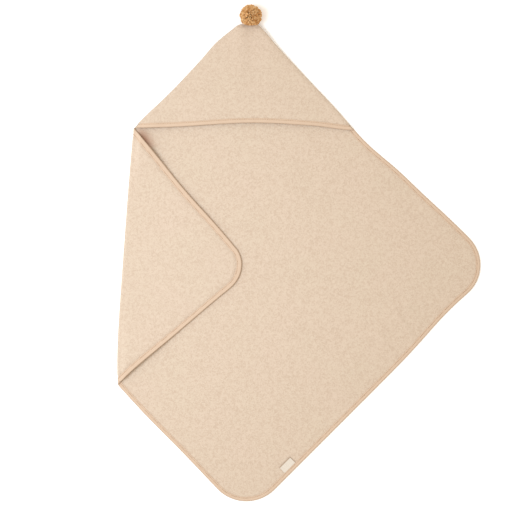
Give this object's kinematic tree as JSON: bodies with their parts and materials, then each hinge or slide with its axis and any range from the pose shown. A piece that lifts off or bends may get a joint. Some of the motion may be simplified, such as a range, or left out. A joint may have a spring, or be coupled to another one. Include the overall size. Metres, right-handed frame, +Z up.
{
  "type": "baby bath cape",
  "caption": "Hooded square bath cape of terry towelling laid flat, one corner folded over, with bound edges, a pompom at the hood's tip and a small blank tag.",
  "frame": {"origin": "centre of the laid-out outline, on the surface that the cape lies on", "axes": "+Y towards the hood's tip, +X towards the side corner that lies open, +Z up off the surface"},
  "size_m": [0.7442, 1.019, 0.0476],
  "materials": {
    "terry": "soft beige-pink cotton terry towelling with a short looped pile",
    "bias_strip": "peach-beige cotton bias binding with a line of stitching near its inner edge",
    "yarn": "mustard cut yarn",
    "label_tape": "cream woven tape, blank"
  },
  "bodies": {
    "root": {"main_panel": "terry", "hood_panel": "terry", "binding_hood": "bias_strip", "binding_edge": "bias_strip", "binding_flap": "bias_strip", "pompom": "yarn", "label": "label_tape"}
  },
  "joints": []
}
